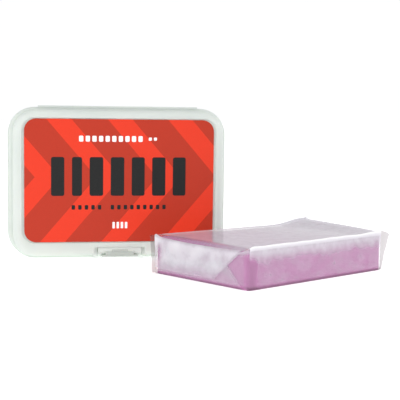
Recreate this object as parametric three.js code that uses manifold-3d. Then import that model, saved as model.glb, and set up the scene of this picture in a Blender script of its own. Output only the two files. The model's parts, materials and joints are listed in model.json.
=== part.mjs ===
// A clay bar for cleaning car paint, wrapped in clear film, with the hinged plastic case it is kept in.
// The case stands on its latch edge and the wrapped bar lies flat in front of it, turned a little.
// Millimetres, +Z up. The origin is the bottom centre of the whole part, on the surface it stands on.

import * as THREE from 'three';
import { mergeVertices } from 'three/addons/utils/BufferGeometryUtils.js';
import Module from 'manifold-3d';

const wasm = await Module();
wasm.setup();

// ---------------------------------------------------------------- driving dimensions

// Case. In its own frame x runs along the case, y up from its latch edge, z forward from the parting plane.
const WALL = 1.3;
const LID_DEPTH = 11;
const TRAY_DEPTH = 15.4;
const SHOULDER = 3.2;             // round between the walls and the face of each half
const INNER_SHOULDER = 2;
const BODY = { halfLength: 47, bottom: 1.6, top: 66.4, radius: 10 };
const LID_RIM = { halfLength: 48.6, bottom: 0, top: 67.1, radius: 11.3, depth: 2.4 };
const TRAY_RIM = { halfLength: 49.4, bottom: 0, top: 67.6, radius: 12, depth: 2.2 };
const GAP = 0.3;                  // between neighbouring pieces
const LIP_WALL = 0.8;             // locating lip of the tray, inside the lid's walls
const LIP_REACH = 1.6;
const LIP_ROOT = 1.5;

// Label, and the shallow pocket it is stuck into
const LABEL = { halfLength: 42.15, bottom: 8.05, top: 62.55, radius: 5.3, thickness: 0.25 };
const POCKET_MARGIN = 1.1;        // beyond the label's ends
const POCKET_MARGIN_EDGE = 0.4;   // beyond its top and bottom edges
const POCKET_DEPTH = 0.6;
const GLUE_GAP = 0.1;

// Latch: a tongue cut out of the lid's lower edge, with a stepped thumb ledge and a snap bead
const TONGUE_HALF = 9.3;
const WINDOW_HALF = 11.3;
const WINDOW_TOP = 5.5;
const TONGUE_BOTTOM = 0.7;        // keeps the tongue off the surface, so that it can flex outward
const LEDGE_FRONT = 11.3;
const LEDGE_BACK = 9;
const LEDGE_STEPS = [
  { half: 8.3, bottom: 0.7, top: 2.0 },
  { half: 6.4, bottom: 2.0, top: 3.4 },
  { half: 3.7, bottom: 3.4, top: 4.75 },
];
const BEAD = { half: 6, bottom: 2.5, top: 3.2, back: 1.9, front: 2.7 };
const CATCH = { half: 6, bottom: 3.5, top: 4.6, back: 0.5, front: 3.8 };

// Living hinge: the thin web that joins the two rims along the top edge
const WEB = { halfLength: 36, bottom: 67.9, top: 68.3, halfDepth: 1.8 };

// Wrapped bar. In its own frame x runs along the bar, y across it towards its back, z up.
const BAR_CENTRE = { x: 60.1, y: -52 };
const BAR_TURN = THREE.MathUtils.degToRad(30.4);
const BAR_NEAR_END = 41.1;         // from the middle to the outside of each folded end
const BAR_FAR_END = 42.6;
const BAR_HALF_WIDTH = 25.1;
const BAR_HEIGHT = 16.1;
const LENGTH_KEYSTONE = 0.0011;   // growth of the length, per millimetre towards the back
const WIDTH_KEYSTONE = -0.0016;   // growth of the width, per millimetre towards the far end
const FILM = 0.4;
const SLEEVE_RADIUS = 1.6;
const CLAY_RADIUS = 1.1;
const TUCK_REACH = 13;
const TOP_FLAP = { reach: 12.3, frontInset: 16, backInset: 3 };
const BOTTOM_FLAP = { reach: 9, frontInset: 9, backInset: 5 };
const SEAM = { halfLength: 37, bottom: 3, top: 13 };

const BEYOND = 200;               // past every surface, for cutting blocks
const CURVE_SEGMENTS = 7;
const SHOULDER_SEGMENTS = 4;

// ---------------------------------------------------------------- materials

const material = (color, roughness) => new THREE.MeshStandardMaterial({ color, roughness, metalness: 0 });

const casePlastic = material(0xdfe6e0, 0.35);
const labelRed = material(0xe8402c, 0.45);
const clayPink = material(0xc98fc0, 0.7);
const clearFilm = material(0xe6e2ea, 0.12);

// ---------------------------------------------------------------- solids

const CLOSE = 1e-5;

function solid(geometry) {
  const bare = geometry.clone();
  bare.deleteAttribute('normal');
  bare.deleteAttribute('uv');
  const merged = mergeVertices(bare, CLOSE);
  return new wasm.Manifold(new wasm.Mesh({
    numProp: 3,
    vertProperties: new Float32Array(merged.attributes.position.array),
    triVerts: new Uint32Array(merged.index.array),
  }));
}

function geometryOf(manifold) {
  const mesh = manifold.getMesh();
  const geometry = new THREE.BufferGeometry();
  geometry.setAttribute('position', new THREE.BufferAttribute(mesh.vertProperties, mesh.numProp));
  geometry.setIndex(new THREE.BufferAttribute(mesh.triVerts, 1));
  geometry.computeVertexNormals();
  return geometry;
}

function roundedOutline({ halfLength, bottom, top, radius }, inset = 0) {
  const left = -halfLength + inset;
  const right = halfLength - inset;
  const low = bottom + inset;
  const high = top - inset;
  const r = radius - inset;
  const shape = new THREE.Shape();
  shape.moveTo(left + r, low);
  shape.lineTo(right - r, low);
  shape.absarc(right - r, low + r, r, -Math.PI / 2, 0);
  shape.lineTo(right, high - r);
  shape.absarc(right - r, high - r, r, 0, Math.PI / 2);
  shape.lineTo(left + r, high);
  shape.absarc(left + r, high - r, r, Math.PI / 2, Math.PI);
  shape.lineTo(left, low + r);
  shape.absarc(left + r, low + r, r, Math.PI, Math.PI * 1.5);
  return shape;
}

function slab(shape, back, front) {
  const geometry = new THREE.ExtrudeGeometry(shape, {
    depth: front - back,
    bevelEnabled: false,
    curveSegments: CURVE_SEGMENTS,
  });
  return geometry.translate(0, 0, back);
}

// A slab whose front edge is rounded by the given radius; it starts at z = back with square edges.
function domedSlab(shape, back, front, radius) {
  const geometry = new THREE.ExtrudeGeometry(shape, {
    depth: front - back,
    bevelEnabled: true,
    bevelThickness: radius,
    bevelSize: radius,
    bevelOffset: -radius,
    bevelSegments: SHOULDER_SEGMENTS,
    curveSegments: CURVE_SEGMENTS,
  });
  const rounded = solid(geometry.translate(0, 0, back - radius));
  return rounded.subtract(solid(block(-BEYOND, BEYOND, -BEYOND, BEYOND, back - 2 * radius - 1, back)));
}

function block(x0, x1, y0, y1, z0, z1) {
  const geometry = new THREE.BoxGeometry(x1 - x0, y1 - y0, z1 - z0);
  return geometry.translate((x0 + x1) / 2, (y0 + y1) / 2, (z0 + z1) / 2);
}

function piece(name, geometry, finish) {
  const mesh = new THREE.Mesh(geometry, finish.clone());
  mesh.name = name;
  return mesh;
}

// ---------------------------------------------------------------- case

// One half of the case, open at the parting plane and facing +z: walls, face and rim.
function caseHalf(depth, rim) {
  const start = GAP / 2;
  const walls = domedSlab(roundedOutline(BODY), start, depth, SHOULDER);
  const flange = solid(slab(roundedOutline(rim), start, start + rim.depth));
  const hollow = domedSlab(roundedOutline(BODY, WALL), -1, depth - WALL, INNER_SHOULDER);
  return walls.add(flange).subtract(hollow);
}

function tongueWindow(halfWidth, bottom, top) {
  return solid(block(-halfWidth, halfWidth, bottom, top, -1, LEDGE_FRONT + 1));
}

function lidShell() {
  const pocketShape = roundedOutline({
    halfLength: LABEL.halfLength + POCKET_MARGIN,
    bottom: LABEL.bottom - POCKET_MARGIN_EDGE,
    top: LABEL.top + POCKET_MARGIN_EDGE,
    radius: LABEL.radius + POCKET_MARGIN_EDGE,
  });
  const pocket = solid(slab(pocketShape, LID_DEPTH - POCKET_DEPTH, LID_DEPTH + 1));
  const lid = caseHalf(LID_DEPTH, LID_RIM)
    .subtract(pocket)
    .subtract(tongueWindow(WINDOW_HALF, -1, WINDOW_TOP));
  return geometryOf(lid);
}

function frontLabel() {
  const back = LID_DEPTH - POCKET_DEPTH + GLUE_GAP;
  return slab(roundedOutline(LABEL), back, back + LABEL.thickness);
}

function latchTongue() {
  const cut = tongueWindow(TONGUE_HALF, TONGUE_BOTTOM, WINDOW_TOP - GAP);
  let tongue = caseHalf(LID_DEPTH, LID_RIM).intersect(cut);
  for (const step of LEDGE_STEPS) {
    tongue = tongue.add(solid(block(-step.half, step.half, step.bottom, step.top, LEDGE_BACK, LEDGE_FRONT)));
  }
  const bead = block(-BEAD.half, BEAD.half, BEAD.bottom, BEAD.top, BEAD.back, BEAD.front);
  return geometryOf(tongue.add(solid(bead)));
}

function trayShell() {
  const lipOutside = WALL + GAP;
  const lipInside = lipOutside + LIP_WALL;
  const lip = solid(slab(roundedOutline(BODY, lipOutside), -LIP_REACH, LIP_ROOT))
    .add(solid(slab(roundedOutline(BODY, WALL / 2), GAP, LIP_ROOT)))
    .subtract(solid(slab(roundedOutline(BODY, lipInside), -LIP_REACH - 1, LIP_ROOT + 1)));
  const catchLug = block(-CATCH.half, CATCH.half, CATCH.bottom, CATCH.top, -CATCH.front, -CATCH.back);
  const tray = caseHalf(TRAY_DEPTH, TRAY_RIM).add(lip).add(solid(catchLug));
  // The tray is the same kind of half as the lid, turned to face backward.
  return geometryOf(tray.mirror([0, 0, 1]));
}

function livingHinge() {
  return block(-WEB.halfLength, WEB.halfLength, WEB.bottom, WEB.top, -WEB.halfDepth, WEB.halfDepth);
}

function hingedCase() {
  const group = new THREE.Group();
  group.add(piece('lid_shell', lidShell(), casePlastic));
  group.add(piece('front_label', frontLabel(), labelRed));
  group.add(piece('latch_tongue', latchTongue(), casePlastic));
  group.add(piece('tray_shell', trayShell(), casePlastic));
  group.add(piece('living_hinge', livingHinge(), casePlastic));
  group.rotation.x = Math.PI / 2;
  return group;
}

// ---------------------------------------------------------------- wrapped bar

// Gives the straight-sided bar its slightly uneven plan: longer at the back, narrower at the far end.
function keystone(geometry) {
  const position = geometry.attributes.position;
  for (let i = 0; i < position.count; i += 1) {
    const x = position.getX(i);
    const y = position.getY(i);
    position.setX(i, x * (1 + LENGTH_KEYSTONE * y));
    position.setY(i, y * (1 + WIDTH_KEYSTONE * x));
  }
  geometry.computeVertexNormals();
  return geometry;
}

// Turns an outline drawn across the bar (shape x = bar y, shape y = height) into a slab between two stations.
function acrossBar(shape, start, end) {
  const geometry = slab(shape, start, end);
  geometry.rotateX(Math.PI / 2);
  geometry.rotateZ(Math.PI / 2);
  return geometry;
}

function sectionOutline(halfWidth, bottom, top, radius) {
  return roundedOutline({ halfLength: halfWidth, bottom, top, radius });
}

function polygon(points) {
  return new THREE.Shape(points.map(([x, y]) => new THREE.Vector2(x, y)));
}

const FOLD_LAYERS = 3;
const clayNear = BAR_NEAR_END - FOLD_LAYERS * (FILM + GAP);
const clayFar = BAR_FAR_END - FOLD_LAYERS * (FILM + GAP);

function clayBlock() {
  const inset = FILM + GAP;
  const section = sectionOutline(BAR_HALF_WIDTH - inset, inset, BAR_HEIGHT - inset, CLAY_RADIUS);
  return keystone(acrossBar(section, -clayNear, clayFar));
}

function filmSleeve() {
  const outside = sectionOutline(BAR_HALF_WIDTH, 0, BAR_HEIGHT, SLEEVE_RADIUS);
  const inside = sectionOutline(BAR_HALF_WIDTH - FILM, FILM, BAR_HEIGHT - FILM, SLEEVE_RADIUS - FILM);
  outside.holes.push(inside);
  return keystone(acrossBar(outside, -clayNear, clayFar));
}

function filmSeam() {
  const shape = polygon([
    [BAR_HALF_WIDTH + GAP, SEAM.bottom],
    [BAR_HALF_WIDTH + GAP + FILM, SEAM.bottom],
    [BAR_HALF_WIDTH + GAP + FILM, SEAM.top],
    [BAR_HALF_WIDTH + GAP, SEAM.top],
  ]);
  return keystone(acrossBar(shape, -SEAM.halfLength, SEAM.halfLength));
}

// The folded film at one end: two side tucks lie on the clay, then the bottom flap, then the top flap.
// side is -1 at the near end and 1 at the far end.
function foldLayer(shape, layer, side) {
  const inner = (side > 0 ? clayFar : clayNear) + GAP + layer * (FILM + GAP);
  const outer = inner + FILM;
  return keystone(side > 0 ? acrossBar(shape, inner, outer) : acrossBar(shape, -outer, -inner));
}

function tuckShape(hand) {
  const outer = BAR_HALF_WIDTH * hand;
  const inner = (BAR_HALF_WIDTH - TUCK_REACH) * hand;
  const low = FILM;
  const high = BAR_HEIGHT - FILM;
  const slope = (high - low) / 3;
  const points = [[outer, low], [inner, low + slope], [inner, high - slope], [outer, high]];
  return polygon(hand > 0 ? points.reverse() : points);
}

function topFlapShape() {
  const low = BAR_HEIGHT - TOP_FLAP.reach;
  const front = TOP_FLAP.frontInset - BAR_HALF_WIDTH;
  const back = BAR_HALF_WIDTH - TOP_FLAP.backInset;
  return polygon([[-BAR_HALF_WIDTH, BAR_HEIGHT], [front, low], [back, low], [BAR_HALF_WIDTH, BAR_HEIGHT]]);
}

function bottomFlapShape() {
  const front = BOTTOM_FLAP.frontInset - BAR_HALF_WIDTH;
  const back = BAR_HALF_WIDTH - BOTTOM_FLAP.backInset;
  const high = BOTTOM_FLAP.reach;
  return polygon([[-BAR_HALF_WIDTH, 0], [BAR_HALF_WIDTH, 0], [back, high], [front, high]]);
}

function foldedEnd(label, side) {
  return [
    piece(`film_tuck_front_${label}`, foldLayer(tuckShape(-1), 0, side), clearFilm),
    piece(`film_tuck_back_${label}`, foldLayer(tuckShape(1), 0, side), clearFilm),
    piece(`film_flap_top_${label}`, foldLayer(topFlapShape(), 2, side), clearFilm),
    piece(`film_flap_bottom_${label}`, foldLayer(bottomFlapShape(), 1, side), clearFilm),
  ];
}

function wrappedBar() {
  const group = new THREE.Group();
  group.add(piece('clay_block', clayBlock(), clayPink));
  group.add(piece('film_sleeve', filmSleeve(), clearFilm));
  group.add(piece('film_seam', filmSeam(), clearFilm));
  group.add(...foldedEnd('near', -1), ...foldedEnd('far', 1));
  group.rotation.z = BAR_TURN;
  group.position.set(BAR_CENTRE.x, BAR_CENTRE.y, 0);
  return group;
}

// ---------------------------------------------------------------- assembly

const part = new THREE.Group();
part.add(hingedCase(), wrappedBar());
part.updateMatrixWorld(true);

const bounds = new THREE.Box3().setFromObject(part, true);
part.position.set(-(bounds.min.x + bounds.max.x) / 2, -(bounds.min.y + bounds.max.y) / 2, -bounds.min.z);
part.updateMatrixWorld(true);

export default part;
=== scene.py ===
"""A clay bar for car paint, wrapped in clear film, lying in front of its hinged translucent case.

Each sub-assembly is drawn in millimetres in a frame of its own, and a Placement brings it into the
shared frame, which is in metres. The case's drawing has x along it, y up from its latch edge and z
forward from the parting plane; the bar's has x along it, y to its back and z up.
"""

from __future__ import annotations

import json
import logging
import math
from dataclasses import dataclass, field
from enum import Enum
from itertools import product
from typing import Any, Callable, Mapping, Sequence

import bmesh
import bpy
from mathutils import Matrix, Quaternion, Vector, noise

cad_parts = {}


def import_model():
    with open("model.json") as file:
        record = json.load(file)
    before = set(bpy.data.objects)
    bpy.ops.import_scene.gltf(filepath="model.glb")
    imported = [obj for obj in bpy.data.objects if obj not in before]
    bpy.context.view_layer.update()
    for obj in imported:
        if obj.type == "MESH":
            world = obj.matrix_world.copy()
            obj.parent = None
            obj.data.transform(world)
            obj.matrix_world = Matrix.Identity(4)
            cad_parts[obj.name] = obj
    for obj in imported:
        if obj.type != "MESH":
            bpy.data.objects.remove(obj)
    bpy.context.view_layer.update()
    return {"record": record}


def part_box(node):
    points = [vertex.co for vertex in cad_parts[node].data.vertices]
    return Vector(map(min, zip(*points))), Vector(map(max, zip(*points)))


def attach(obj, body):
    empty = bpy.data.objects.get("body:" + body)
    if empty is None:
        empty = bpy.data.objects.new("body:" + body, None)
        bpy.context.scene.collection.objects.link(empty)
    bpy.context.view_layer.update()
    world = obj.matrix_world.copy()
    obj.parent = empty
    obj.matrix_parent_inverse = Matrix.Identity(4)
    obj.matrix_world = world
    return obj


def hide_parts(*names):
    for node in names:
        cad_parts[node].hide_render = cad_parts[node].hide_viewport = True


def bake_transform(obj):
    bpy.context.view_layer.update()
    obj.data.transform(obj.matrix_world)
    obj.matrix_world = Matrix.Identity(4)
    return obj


LOG = logging.getLogger("clay_bar")
MM = 0.001
Colour = tuple[float, float, float, float]


class Body(Enum):
    """The bodies of the frame that pieces ride on."""

    LID = "lid"
    TRAY = "tray"
    LATCH = "latch"
    BAR = "wrapped_bar"


class Slot(Enum):
    """The record's material slots."""

    CASE = "case_plastic"
    LABEL = "label_print"
    CLAY = "clay"
    FILM = "clear_film"


class Cut(Enum):
    """The ways one solid can work on another."""

    JOIN = "UNION"
    REMOVE = "DIFFERENCE"
    KEEP_COMMON = "INTERSECT"


# ------------------------------------------------------------------------------------------ drawing helpers


def display(red: int, green: int, blue: int) -> Colour:
    """Turns a screen colour, 0 to 255 a channel, into the linear colour that shaders use.

    Args:
        red: The red channel.
        green: The green channel.
        blue: The blue channel.

    Returns:
        The linear colour with full alpha.
    """
    toe, slope, offset, power = 0.04045, 12.92, 0.055, 2.4

    def linear(channel: int) -> float:
        """Linear value of one channel."""
        value = channel / 255
        return value / slope if value <= toe else ((value + offset) / (1 + offset)) ** power

    return linear(red), linear(green), linear(blue), 1.0


def smooth_step(low: float, high: float, value: float) -> float:
    """Eases from 0 at low to 1 at high."""
    share = min(1.0, max(0.0, (value - low) / (high - low)))
    return share * share * (3 - 2 * share)


def ripple(x: float, y: float, z: float, seed: float = 0.0) -> float:
    """Smooth noise from -1 to 1, the same on every run."""
    return noise.noise(Vector((x + 17.3 * seed, y - 9.1 * seed, z + 5.7 * seed)))


def quarter_turn(steps: int) -> list[tuple[float, float]]:
    """Sine and cosine at even steps from nothing to a right angle."""
    angles = [i / steps * math.pi / 2 for i in range(steps + 1)]
    return [(math.sin(angle), math.cos(angle)) for angle in angles]


@dataclass(frozen=True)
class Placement:
    """Where a sub-assembly's own drawing, in millimetres, sits in the frame, in metres."""

    origin: Vector
    along: Vector
    across: Vector
    outward: Vector

    def matrix(self) -> Matrix:
        """Matrix from the drawing to the frame."""
        turn = Matrix((self.along, self.across, self.outward)).transposed().to_4x4()
        return Matrix.Translation(self.origin) @ turn @ Matrix.Scale(MM, 4)

    def point(self, x: float, y: float, z: float) -> Vector:
        """A drawing point as a point of the frame."""
        return self.matrix() @ Vector((x, y, z))


@dataclass(frozen=True)
class Outline:
    """A rectangle with round corners, drawn in the x, y plane and symmetrical in x."""

    half_length: float
    bottom: float
    top: float
    radius: float
    corner_steps: int = 12
    side_steps: int = 6

    def ring(self, inset: float, level: float) -> list[Vector]:
        """Points around the outline, the same number for every outline.

        Args:
            inset: How far the ring lies inside the outline.
            level: Height of the ring along z.

        Returns:
            The points, anticlockwise seen from +z.
        """
        least = 0.15
        left, right = -self.half_length + inset, self.half_length - inset
        low, high = self.bottom + inset, self.top - inset
        r = max(self.radius - inset, least)
        centres = [(right - r, low + r), (right - r, high - r), (left + r, high - r), (left + r, low + r)]
        points: list[Vector] = []
        for quarter, (cx, cy) in enumerate(centres):
            for step in range(self.corner_steps + 1):
                angle = (quarter - 1 + step / self.corner_steps) * math.pi / 2
                points.append(Vector((cx + r * math.cos(angle), cy + r * math.sin(angle), level)))
            nx, ny = centres[(quarter + 1) % 4]
            start = points[-1]
            turn = quarter * math.pi / 2
            end = Vector((nx + r * math.cos(turn), ny + r * math.sin(turn), level))
            points += [start.lerp(end, i / self.side_steps) for i in range(1, self.side_steps)]
        return points


@dataclass(frozen=True)
class Station:
    """One ring of a profile: an outline, how far inside it the ring lies, and its level."""

    outline: Outline
    inset: float
    level: float

    def ring(self) -> list[Vector]:
        """The station's points."""
        return self.outline.ring(self.inset, self.level)


@dataclass
class Geometry:
    """Vertices and faces of a mesh before it becomes an object, with optional values per vertex."""

    vertices: list[Vector] = field(default_factory=list)
    faces: list[tuple[int, ...]] = field(default_factory=list)
    values: dict[str, list[float]] = field(default_factory=dict)

    def add(self, other: Geometry) -> None:
        """Appends another geometry.

        Args:
            other: The geometry, which has the same kinds of values.
        """
        start = len(self.vertices)
        self.vertices += other.vertices
        self.faces += [tuple(i + start for i in face) for face in other.faces]
        for key, values in other.values.items():
            self.values.setdefault(key, []).extend(values)


def loft(rings: Sequence[Sequence[Vector]], capped: bool = True) -> Geometry:
    """Joins rings of equal count with quads.

    Args:
        rings: The rings, in order.
        capped: Whether the first and last rings are closed with a face.

    Returns:
        The lofted geometry.
    """
    count = len(rings[0])
    made = Geometry([point for ring in rings for point in ring])
    for row in range(len(rings) - 1):
        for i in range(count):
            j = (i + 1) % count
            a, b = row * count, (row + 1) * count
            made.faces.append((a + i, a + j, b + j, b + i))
    if capped:
        made.faces.append(tuple(reversed(range(count))))
        made.faces.append(tuple(range((len(rings) - 1) * count, len(rings) * count)))
    return made


def sheet_grid(rows: int, columns: int, place: Callable[[float, float], tuple[Vector, float]]) -> Geometry:
    """Makes a rectangular grid of quads.

    Args:
        rows: Number of steps along the first share.
        columns: Number of steps along the second share.
        place: Gives the point and the haze at two shares from 0 to 1.

    Returns:
        The grid, with a haze value per vertex.
    """
    made = Geometry(values={"haze_and_painted_light": []})
    for row in range(rows + 1):
        for column in range(columns + 1):
            point, haze_and_painted_light = place(row / rows, column / columns)
            made.vertices.append(point)
            made.values["haze_and_painted_light"].append(haze_and_painted_light)
    width = columns + 1
    for row in range(rows):
        for column in range(columns):
            a = row * width + column
            made.faces.append((a, a + 1, a + width + 1, a + width))
    return made


def new_object(name: str, geometry: Geometry) -> bpy.types.Object:
    """Makes a mesh object from a geometry and links it to the scene.

    Args:
        name: The object's name, and its mesh's.
        geometry: Its vertices, faces and values per vertex.

    Returns:
        The object.
    """
    mesh = bpy.data.meshes.new(name)
    mesh.from_pydata(geometry.vertices, [], geometry.faces)
    for key, values in geometry.values.items():
        attribute = mesh.attributes.new(key, "FLOAT", "POINT")
        attribute.data.foreach_set("value", values)
    made = bpy.data.objects.new(name, mesh)
    bpy.context.scene.collection.objects.link(made)
    return made


def tidy_mesh(piece: bpy.types.Object, merge: float = 1e-4, closed: bool = True) -> None:
    """Merges doubled points and, on a closed mesh, turns every face outward.

    Args:
        piece: The object, still in millimetres.
        merge: Distance under which points become one.
        closed: Whether the mesh encloses a volume.
    """
    work = bmesh.new()
    work.from_mesh(piece.data)
    bmesh.ops.remove_doubles(work, verts=work.verts, dist=merge)
    if closed:
        bmesh.ops.recalc_face_normals(work, faces=work.faces)
    work.to_mesh(piece.data)
    work.free()


def apply_modifiers(piece: bpy.types.Object) -> None:
    """Replaces the mesh by its evaluated form and removes the modifiers.

    Args:
        piece: The object.
    """
    depsgraph = bpy.context.evaluated_depsgraph_get()
    final = bpy.data.meshes.new_from_object(piece.evaluated_get(depsgraph))
    name = piece.data.name
    old = piece.data
    piece.modifiers.clear()
    piece.data = final
    bpy.data.meshes.remove(old)
    final.name = name


def work_on(piece: bpy.types.Object, tool: bpy.types.Object, cut: Cut) -> None:
    """Runs a boolean on a piece with a tool, which is used up.

    Args:
        piece: The object that stays.
        tool: The object that cuts or joins.
        cut: What the tool does.
    """
    modifier = piece.modifiers.new("cut", "BOOLEAN")
    modifier.operation = cut.value
    modifier.solver = "EXACT"
    modifier.object = tool
    apply_modifiers(piece)
    bpy.data.objects.remove(tool)


def soften_edges(piece: bpy.types.Object, width: float, steps: int = 2, angle: float = 40.0) -> None:
    """Rounds the edges that are sharper than an angle.

    Args:
        piece: The object, still in millimetres.
        width: Width of the round.
        steps: Number of faces across it.
        angle: Smallest edge angle that is rounded, in degrees.
    """
    modifier = piece.modifiers.new("round", "BEVEL")
    modifier.width = width
    modifier.segments = steps
    modifier.limit_method = "ANGLE"
    modifier.angle_limit = math.radians(angle)
    modifier.use_clamp_overlap = True
    apply_modifiers(piece)


def block(
    name: str, low: Sequence[float], high: Sequence[float], round_off: float = 0.0
) -> bpy.types.Object:
    """A box between two corners, with rounded edges if asked.

    Args:
        name: The object's name.
        low: The lowest corner.
        high: The highest corner.
        round_off: Radius of the edges.

    Returns:
        The object, in millimetres.
    """
    corners = [Vector(corner) for corner in product(*zip(low, high))]
    faces = [(0, 1, 3, 2), (4, 6, 7, 5), (0, 4, 5, 1), (2, 3, 7, 6), (0, 2, 6, 4), (1, 5, 7, 3)]
    made = new_object(name, Geometry(corners, faces))
    tidy_mesh(made)
    if round_off:
        soften_edges(made, round_off, steps=4)
    return made


def settle(
    piece: bpy.types.Object,
    placement: Placement,
    finish: bpy.types.Material,
    slot: Slot,
    replaced: Sequence[str] = (),
    crease: float = 38.0,
) -> None:
    """Moves a finished drawing into the frame, and dresses it.

    Args:
        piece: The object, in millimetres of its own drawing.
        placement: Where the drawing sits.
        finish: The material, unless the mesh has its own.
        slot: The record's slot of that material; not used.
        replaced: The frame's nodes that it stands for.
        crease: Edges sharper than this angle, in degrees, are not shaded smooth.
    """
    mesh = piece.data
    mesh.transform(placement.matrix())
    if not mesh.materials:
        mesh.materials.append(finish)
    mesh.shade_smooth()
    mesh.set_sharp_from_angle(angle=math.radians(crease))
    mesh.update()
    if replaced:
        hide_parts(*replaced)


def report(piece: bpy.types.Object, bodies: Sequence[Body]) -> None:
    """Logs a piece and what it rides on."""
    LOG.info("%s: %d faces, on %s", piece.name, len(piece.data.polygons), "+".join(b.value for b in bodies))


def ride(piece: bpy.types.Object, body: Body) -> None:
    """Lets a piece ride on a body and logs it."""
    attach(piece, body.value)
    report(piece, [body])


# ------------------------------------------------------------------------------------------ finishes


class Shader:
    """Builds the nodes of one material."""

    def __init__(self, name: str) -> None:
        """Starts an empty material.

        Args:
            name: The material's name.
        """
        self.material = bpy.data.materials.new(name)
        self.material.use_nodes = True
        self.tree = self.material.node_tree
        self.tree.nodes.clear()

    def node(self, kind: str, inputs: Mapping[Any, Any] | None = None, **settings: Any) -> bpy.types.Node:
        """Adds a node.

        Args:
            kind: The node's type.
            inputs: Values or sockets for its inputs, by name or number.
            **settings: Properties of the node.

        Returns:
            The node.
        """
        made = self.tree.nodes.new(kind)
        for key, value in settings.items():
            setattr(made, key, value)
        for key, value in (inputs or {}).items():
            if isinstance(value, bpy.types.NodeSocket):
                self.tree.links.new(value, made.inputs[key])
            else:
                made.inputs[key].default_value = value
        return made

    def math(
        self, operation: str, first: Any, second: Any = 0.0, clamp: bool = False
    ) -> bpy.types.NodeSocket:
        """Result of a math node."""
        made = self.node("ShaderNodeMath", {0: first, 1: second}, operation=operation, use_clamp=clamp)
        return made.outputs[0]

    def place(self) -> bpy.types.NodeSocket:
        """The surface point in the piece's own coordinates."""
        return self.node("ShaderNodeTexCoord").outputs["Object"]

    def noise(
        self, scale: float, detail: float = 3.0, stretch: Vector | None = None
    ) -> bpy.types.NodeSocket:
        """Smooth noise from 0 to 1.

        Args:
            scale: Features per metre.
            detail: Number of finer levels.
            stretch: Factors along x, y and z, for drawn-out noise.

        Returns:
            The noise value's socket.
        """
        where = self.place()
        if stretch is not None:
            where = self.node("ShaderNodeMapping", {"Vector": where, "Scale": stretch}).outputs[0]
        return self.node(
            "ShaderNodeTexNoise", {"Vector": where, "Scale": scale, "Detail": detail, "Roughness": 0.55}
        ).outputs["Fac"]

    def span(self, value: Any, low: float, high: float) -> bpy.types.NodeSocket:
        """Maps 0..1 onto low..high."""
        return self.node("ShaderNodeMapRange", {"Value": value, "To Min": low, "To Max": high}).outputs[0]

    def mix_colour(self, factor: Any, first: Any, second: Any) -> bpy.types.NodeSocket:
        """Mixes two colours.

        Args:
            factor: Share of the second, a number or a socket.
            first: The first colour or its socket.
            second: The second colour or its socket.

        Returns:
            The mixed colour's socket.
        """
        made = self.node("ShaderNodeMix", data_type="RGBA")
        for socket, value in ((made.inputs[0], factor), (made.inputs[6], first), (made.inputs[7], second)):
            if isinstance(value, bpy.types.NodeSocket):
                self.tree.links.new(value, socket)
            else:
                socket.default_value = value
        return made.outputs[2]

    def bump(self, height: Any, distance: float, strength: float = 1.0) -> bpy.types.NodeSocket:
        """A normal disturbed by a height."""
        made = self.node("ShaderNodeBump", {"Height": height, "Distance": distance, "Strength": strength})
        return made.outputs[0]

    def mix_shader(self, factor: Any, first: Any, second: Any) -> bpy.types.NodeSocket:
        """Mixes two surfaces."""
        return self.node("ShaderNodeMixShader", {0: factor, 1: first, 2: second}).outputs[0]

    def finish(self, surface: bpy.types.NodeSocket) -> bpy.types.Material:
        """Connects the surface and gives the material."""
        self.node("ShaderNodeOutputMaterial", {"Surface": surface})
        return self.material


@dataclass(frozen=True)
class CasePlastic:
    """Translucent natural polypropylene, injection moulded with a satin skin."""

    colour: Colour = display(238, 243, 237)
    thick_colour: Colour = display(222, 230, 225)
    roughness: float = 0.3
    let_through: float = 0.22
    name: str = "case_polypropylene"

    def material(self) -> bpy.types.Material:
        """Builds the material.

        Returns:
            The material.
        """
        shader = Shader(self.name)
        cloud = shader.noise(55, 2)
        grain = shader.noise(5200, 2)
        flow = shader.noise(160, 3, Vector((0.35, 1, 1)))
        skin = shader.bump(grain, 0.00001, 0.5)
        surface = shader.node(
            "ShaderNodeBsdfPrincipled",
            {
                "Base Color": shader.mix_colour(cloud, self.colour, self.thick_colour),
                "Roughness": shader.span(flow, self.roughness - 0.07, self.roughness + 0.09),
                "Subsurface Weight": 0.55,
                "Subsurface Radius": Vector((1.0, 1.0, 0.9)),
                "Subsurface Scale": 0.0022,
                "IOR": 1.49,
                "Normal": shader.node(
                    "ShaderNodeBump", {"Height": flow, "Distance": 0.00006, "Strength": 0.6, "Normal": skin}
                ).outputs[0],
            },
        )
        through = shader.node("ShaderNodeBsdfTranslucent", {"Color": self.colour})
        return shader.finish(shader.mix_shader(self.let_through, surface.outputs[0], through.outputs[0]))


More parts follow.
